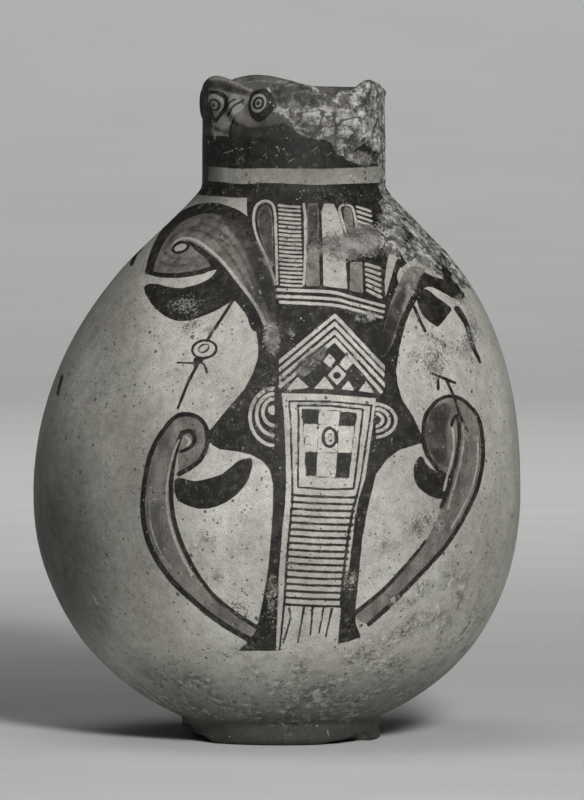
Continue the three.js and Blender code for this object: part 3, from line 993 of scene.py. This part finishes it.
def foot_losses(points, azimuth):
    """How high the foot's underside is broken away, in millimetres."""
    radius = np.hypot(points[:, 0] - FOOT_SHIFT, points[:, 1])
    ragged = 1 + 0.35 * noise(points, 5, 23)
    beyond = radius * np.cos(np.radians(turn_between(azimuth, CORNER_LOSS))) - CORNER_START
    corner = CORNER_SLOPE * np.clip(beyond, 0, None)
    start, end = EDGE_LOSS
    length = end - start
    turn = turn_between(azimuth, start)
    edge = EDGE_LOSS_RISE * np.clip(turn / length, 0, 1) * smoothstep(turn, length + EDGE_LOSS_FADE, length)
    edge = edge * smoothstep(radius, FOOT_RADIUS - FOOT_RING_WIDTH, FOOT_RADIUS - FOOT_RING_WIDTH / 2)
    return np.where(points[:, 2] < FOOT_HEIGHT, ragged * np.maximum(corner, edge), 0)


def skin_normals(u, v, azimuth):
    turn = np.radians(azimuth)
    sideways = np.stack([np.cos(turn), np.sin(turn), np.zeros(len(turn))], axis=1)
    ahead, _, _ = plain_surface(u, np.minimum(v + 1, ROWS * UNIT))
    behind, _, _ = plain_surface(u, np.maximum(v - 1, 0))
    normal = np.cross(sideways, ahead - behind)
    return normal / np.maximum(np.linalg.norm(normal, axis=1, keepdims=True), 1e-9)


def new_object(name, points, faces):
    """A smooth mesh object in the scene."""
    mesh = bpy.data.meshes.new(name)
    mesh.from_pydata(points, [], faces)
    mesh.polygons.foreach_set("use_smooth", [True] * len(mesh.polygons))
    return linked(name, mesh)


def linked(name, data):
    item = bpy.data.objects.new(name, data)
    bpy.context.scene.collection.objects.link(item)
    return item


def build_jug():
    places, faces = skin_mesh()
    u, v = places.T
    points, azimuth, outside = plain_surface(u, v)
    fields = painted(points, outside)
    out = displacement(points, azimuth, outside, fields) * smoothstep(points[:, 2], 0.5, 6)
    moved = points + skin_normals(u, v, azimuth) * out[:, None]
    lost = foot_losses(points, azimuth) * (v < OUTER_END * UNIT)
    moved[:, 2] = np.maximum(moved[:, 2], np.minimum(lost, FOOT_HEIGHT - 1))
    poles = [moved[v == row].mean(0) for row in (0, ROWS * UNIT)]
    piece = new_object("painted_jug", (np.concatenate([moved, poles]) * MM).tolist(), faces)
    for name, values in fields.items():
        scale = STEP if name in LAYERS else 1
        layer = piece.data.attributes.new(name, "FLOAT", "POINT")
        layer.data.foreach_set("value", np.append(values * scale, [0, 0]).astype(np.float32))
    piece.data.update()
    return piece


class Nodes:
    """A material's node tree, with a short way to add and join its nodes."""

    def __init__(self, name):
        self.material = bpy.data.materials.new(name)
        self.material.use_nodes = True
        self.tree = self.material.node_tree
        self.shader = self.tree.nodes["Principled BSDF"]
        self.place = self.add("ShaderNodeTexCoord").outputs["Object"]

    def add(self, kind, inputs=None, **settings):
        node = self.tree.nodes.new(kind)
        for key, value in settings.items():
            setattr(node, key, value)
        for key, value in (inputs or {}).items():
            self.join(value, node.inputs[key])
        return node

    def join(self, value, socket):
        if isinstance(value, bpy.types.NodeSocket):
            self.tree.links.new(value, socket)
        else:
            socket.default_value = value

    def math(self, operation, *values, clamp=False):
        inputs = dict(enumerate(values))
        return self.add("ShaderNodeMath", inputs, operation=operation, use_clamp=clamp).outputs[0]

    def times(self, first, second):
        return self.math("MULTIPLY", first, second)

    def plus(self, first, second):
        return self.math("ADD", first, second)

    def minus(self, first, second):
        return self.math("SUBTRACT", first, second)

    def most(self, first, second):
        return self.math("MAXIMUM", first, second)

    def noise(self, scale, detail=3, rough=0.55, warp=0.0, stretch=None):
        place = self.place
        if stretch:
            place = self.add("ShaderNodeMapping", {"Vector": place, "Scale": stretch}).outputs[0]
        inputs = {"Vector": place, "Scale": scale, "Detail": detail, "Roughness": rough, "Distortion": warp}
        return self.add("ShaderNodeTexNoise", inputs).outputs["Fac"]

    def specks(self, scale, share, size):
        """Round spots strewn at random: how many to a metre, the share kept, and their radius in spacings."""
        inputs = {"Vector": self.place, "Scale": scale, "Randomness": 1.0}
        spots = self.add("ShaderNodeTexVoronoi", inputs, feature="F1")
        chance = self.add("ShaderNodeSeparateColor", {"Color": spots.outputs["Color"]}).outputs["Red"]
        reach = self.times(self.plus(self.ramp(chance, 1 - share, 1.0), 0.4), size)
        spot = self.math("MULTIPLY", self.minus(reach, spots.outputs["Distance"]), 12 / size, clamp=True)
        return self.times(spot, self.math("GREATER_THAN", chance, 1 - share))

    def ramp(self, value, low, high, to_low=0.0, to_high=1.0):
        inputs = {"Value": value, "From Min": low, "From Max": high, "To Min": to_low, "To Max": to_high}
        return self.add("ShaderNodeMapRange", inputs, clamp=True).outputs[0]

    def attribute(self, name):
        return self.add("ShaderNodeAttribute", attribute_name=name).outputs["Fac"]

    def mix(self, share, first, second, blend="MIX"):
        node = self.add("ShaderNodeMix", data_type="RGBA", blend_type=blend)
        self.join(share, node.inputs[0])
        self.join(first, node.inputs[6])
        self.join(second, node.inputs[7])
        return node.outputs[2]


def colour(*levels):
    """A colour given as sRGB levels from 0 to 255."""
    shares = [level / 255 for level in levels]
    return (*[c / 12.92 if c <= 0.04 else ((c + 0.055) / 1.055) ** 2.4 for c in shares], 1.0)


CREAM = colour(202, 200, 192)
CREAM_DARK = colour(167, 164, 155)
CLAY = colour(215, 213, 207)
CLAY_DARK = colour(117, 114, 107)
RED_WASH = colour(141, 137, 130)
RED_WASH_DARK = colour(93, 90, 84)
INK_BLACK = colour(32, 30, 27)
INK_WORN = colour(57, 54, 49)
INK_BROWN = colour(83, 80, 74)
# a dark earth colour, also used for painted shade on the bare clay and in its hollows
DIRT_AND_SHADE = colour(73, 71, 65)
# near black, for painted shade and darkening over the paint
SHADE_AND_DARKENING_BLACK = (0.01, 0.009, 0.008, 1)
LIME = colour(214, 212, 204)


def earthenware():
    n = Nodes("painted_earthenware")
    ink, wash, dark, spall = map(n.attribute, LAYERS)
    rubbed, crust, shade_and_darkening = map(n.attribute, ("rubbed", "crust", "shade_and_darkening"))

    wobble = n.times(n.minus(n.noise(260, 2), 0.5), 0.55)
    fine = n.noise(900, 4, 0.7)
    grain = n.noise(1500, 5, 0.75)
    patchy = n.noise(75, 5, 0.62)
    broad = n.noise(18, 3, 0.5)

    ground = n.mix(n.ramp(broad, 0.35, 0.68), CREAM, CREAM_DARK)
    ground = n.mix(n.ramp(patchy, 0.46, 0.74, 0, 0.55), ground, CREAM_DARK)
    ground = n.mix(n.ramp(n.noise(420, 5, 0.75), 0.58, 0.74, 0, 0.45), ground, DIRT_AND_SHADE)

    loss = n.plus(n.times(fine, 0.6), n.times(patchy, 0.4))
    worn_edge = n.minus(0.655, n.times(rubbed, 0.3))
    worn = n.ramp(n.minus(loss, worn_edge), 0.0, 0.045)
    flaked = n.ramp(n.plus(spall, n.times(wobble, 4)), -0.4, 0.6)
    bare = n.most(flaked, worn)

    wash_mask = n.ramp(n.plus(wash, wobble), -0.22, 0.22)
    streaks = n.noise(120, 4, 0.65, stretch=(1, 1, 0.5))
    wash_colour = n.mix(n.ramp(streaks, 0.38, 0.66), RED_WASH, RED_WASH_DARK)
    dark_mask = n.ramp(n.plus(dark, n.times(wobble, 3)), -0.6, 0.9)
    dark_mask = n.times(dark_mask, n.ramp(n.noise(150, 5, 0.7), 0.36, 0.58, 0.55, 1.0))
    ink_mask = n.ramp(n.plus(ink, wobble), -0.16, 0.16)
    ink_colour = n.mix(n.ramp(n.noise(95, 6, 0.75), 0.44, 0.66), INK_BLACK, INK_WORN)
    ink_colour = n.mix(n.ramp(n.noise(300, 5, 0.8), 0.52, 0.64, 0, 0.85), ink_colour, INK_BROWN)

    painted_colour = n.mix(wash_mask, ground, wash_colour)
    painted_colour = n.mix(dark_mask, painted_colour, INK_WORN)
    painted_colour = n.mix(ink_mask, painted_colour, ink_colour)
    # painted shade and darkening over the paint, from the patches and by height
    painted_colour = n.mix(n.times(shade_and_darkening, 0.85), painted_colour, SHADE_AND_DARKENING_BLACK)
    clay = n.mix(n.ramp(n.noise(200, 5, 0.75), 0.43, 0.58), CLAY, CLAY_DARK)
    clay = n.mix(n.ramp(n.noise(110, 6, 0.8), 0.51, 0.6, 0, 0.95), clay, DIRT_AND_SHADE)
    clay = n.mix(1.0, clay, n.ramp(n.noise(480, 4, 0.8), 0.4, 0.6, 0.72, 1.12), "MULTIPLY")
    clay = n.mix(n.times(n.minus(1.0, flaked), 0.6), clay, CLAY_DARK)
    # painted shade and darkening over the bare clay
    clay = n.mix(n.ramp(shade_and_darkening, 0.45, 1.1, 0, 0.85), clay, DIRT_AND_SHADE)
    # painted shade in the hollows of the flaked clay
    clay = n.mix(n.ramp(n.attribute("hollow"), 0.15, 0.85, 0, 0.9), clay, DIRT_AND_SHADE)
    surface = n.mix(bare, painted_colour, clay)

    rust = n.most(n.specks(150, 0.38, 0.12), n.specks(430, 0.42, 0.19))
    chips = n.most(n.specks(260, 0.05, 0.11), n.specks(620, 0.07, 0.2))
    scratches = n.ramp(n.noise(560, 4, 0.75, stretch=(1, 1, 0.2)), 0.66, 0.73)
    pit = n.times(n.specks(210, 0.6, 0.15), n.ramp(n.noise(55, 2), 0.5, 0.6))
    cluster = n.ramp(n.plus(patchy, n.times(crust, 0.3)), 0.61, 0.75)
    flakes = n.noise(240, 6, 0.8)
    crust_mask = n.times(n.ramp(flakes, 0.5, 0.56), cluster)
    crust_gaps = n.times(n.ramp(flakes, 0.49, 0.43), cluster)

    marks = [(rust, 0.8, DIRT_AND_SHADE), (n.most(chips, scratches), 0.5, LIME), (pit, 0.85, DIRT_AND_SHADE)]
    marks += [(crust_mask, 0.5, LIME), (crust_gaps, 0.65, DIRT_AND_SHADE)]
    for mask, strength, tone in marks:
        surface = n.mix(n.times(mask, strength), surface, tone)
    surface = n.mix(1.0, surface, n.ramp(grain, 0.38, 0.62, 0.74, 1.2), "MULTIPLY")
    surface = n.mix(1.0, surface, n.ramp(n.noise(190, 6, 0.8), 0.36, 0.6, 0.78, 1.08), "MULTIPLY")
    n.join(surface, n.shader.inputs["Base Color"])

    rough = n.ramp(patchy, 0.3, 0.7, 0.5, 0.62)
    rough = n.plus(rough, n.times(bare, 0.3))
    rough = n.math("ADD", rough, n.times(crust_mask, 0.2), clamp=True)
    n.join(rough, n.shader.inputs["Roughness"])

    height = n.plus(n.times(grain, 0.3), n.times(fine, 0.35))
    height = n.minus(height, n.times(n.most(pit, rust), 0.7))
    height = n.plus(height, n.times(n.times(bare, fine), 2.4))
    height = n.plus(height, n.times(crust_mask, 1.4))
    bump = n.add("ShaderNodeBump", {"Height": height, "Strength": 0.55, "Distance": 0.0007})
    n.join(bump.outputs[0], n.shader.inputs["Normal"])
    n.shader.inputs["Specular IOR Level"].default_value = 0.25
    return n.material


def pale_floor():
    n = Nodes("pale_floor")
    clouds = n.noise(5, 4, 0.6, stretch=(1, 3, 1))
    shade = n.mix(n.ramp(clouds, 0.3, 0.7), colour(232, 234, 232), colour(226, 228, 226))
    n.join(shade, n.shader.inputs["Base Color"])
    n.shader.inputs["Roughness"].default_value = 0.85
    return n.material


jug = build_jug()
jug.data.materials.append(earthenware())
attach(jug, "root")
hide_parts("jug")


def make_floor():
    """A floor that curves up into a low backdrop far behind."""
    half, front, bend, radius, turn = 6.0, -6.0, 3.0, 1.5, math.radians(45)
    profile = [(front, 0.0)]
    profile += [(bend + radius * math.sin(t), radius * (1 - math.cos(t))) for t in np.linspace(0, turn, 16)]
    points = [(x, y, z) for y, z in profile for x in (-half, half)]
    faces = [(2 * i, 2 * i + 1, 2 * i + 3, 2 * i + 2) for i in range(len(profile) - 1)]
    floor = new_object("floor", points, faces)
    floor.data.materials.append(pale_floor())


def make_light(name, place, target, size, power):
    data = bpy.data.lights.new(name, "AREA")
    data.shape = "RECTANGLE"
    data.size, data.size_y = size
    data.energy = power
    light = linked(name, data)
    light.location = place
    light.rotation_euler = (Vector(target) - Vector(place)).to_track_quat("-Z", "Y").to_euler()


def make_camera():
    away = Vector((0, -math.cos(CAMERA_ELEVATION), math.sin(CAMERA_ELEVATION)))
    data = bpy.data.cameras.new("camera")
    data.sensor_width = SENSOR
    data.lens = SENSOR * CAMERA_DISTANCE / (FRAME_HEIGHT * STEP)
    data.clip_end = 100
    camera = linked("camera", data)
    camera.location = Vector(CAMERA_AIM * MM) + away * CAMERA_DISTANCE * MM
    camera.rotation_euler = (-away).to_track_quat("-Z", "Y").to_euler()
    bpy.context.scene.camera = camera


make_floor()
make_camera()
make_light("key", (0.72, -2.66, 1.38), (0, 0, 0.15), (0.5, 0.5), 72)
make_light("top", (-0.4, -0.1, 2.6), (0, 0, 0), (1.5, 1.5), 10.5)
make_light("backdrop", (0, 1.3, 2.2), (0, 2.6, 1.55), (2.4, 0.6), 44)

world = bpy.data.worlds.new("soft_room")
world.use_nodes = True
world.node_tree.nodes["Background"].inputs["Color"].default_value = (0.9, 0.92, 0.91, 1)
world.node_tree.nodes["Background"].inputs["Strength"].default_value = 0.02
bpy.context.scene.world = world
bpy.context.scene.view_settings.view_transform = "Standard"
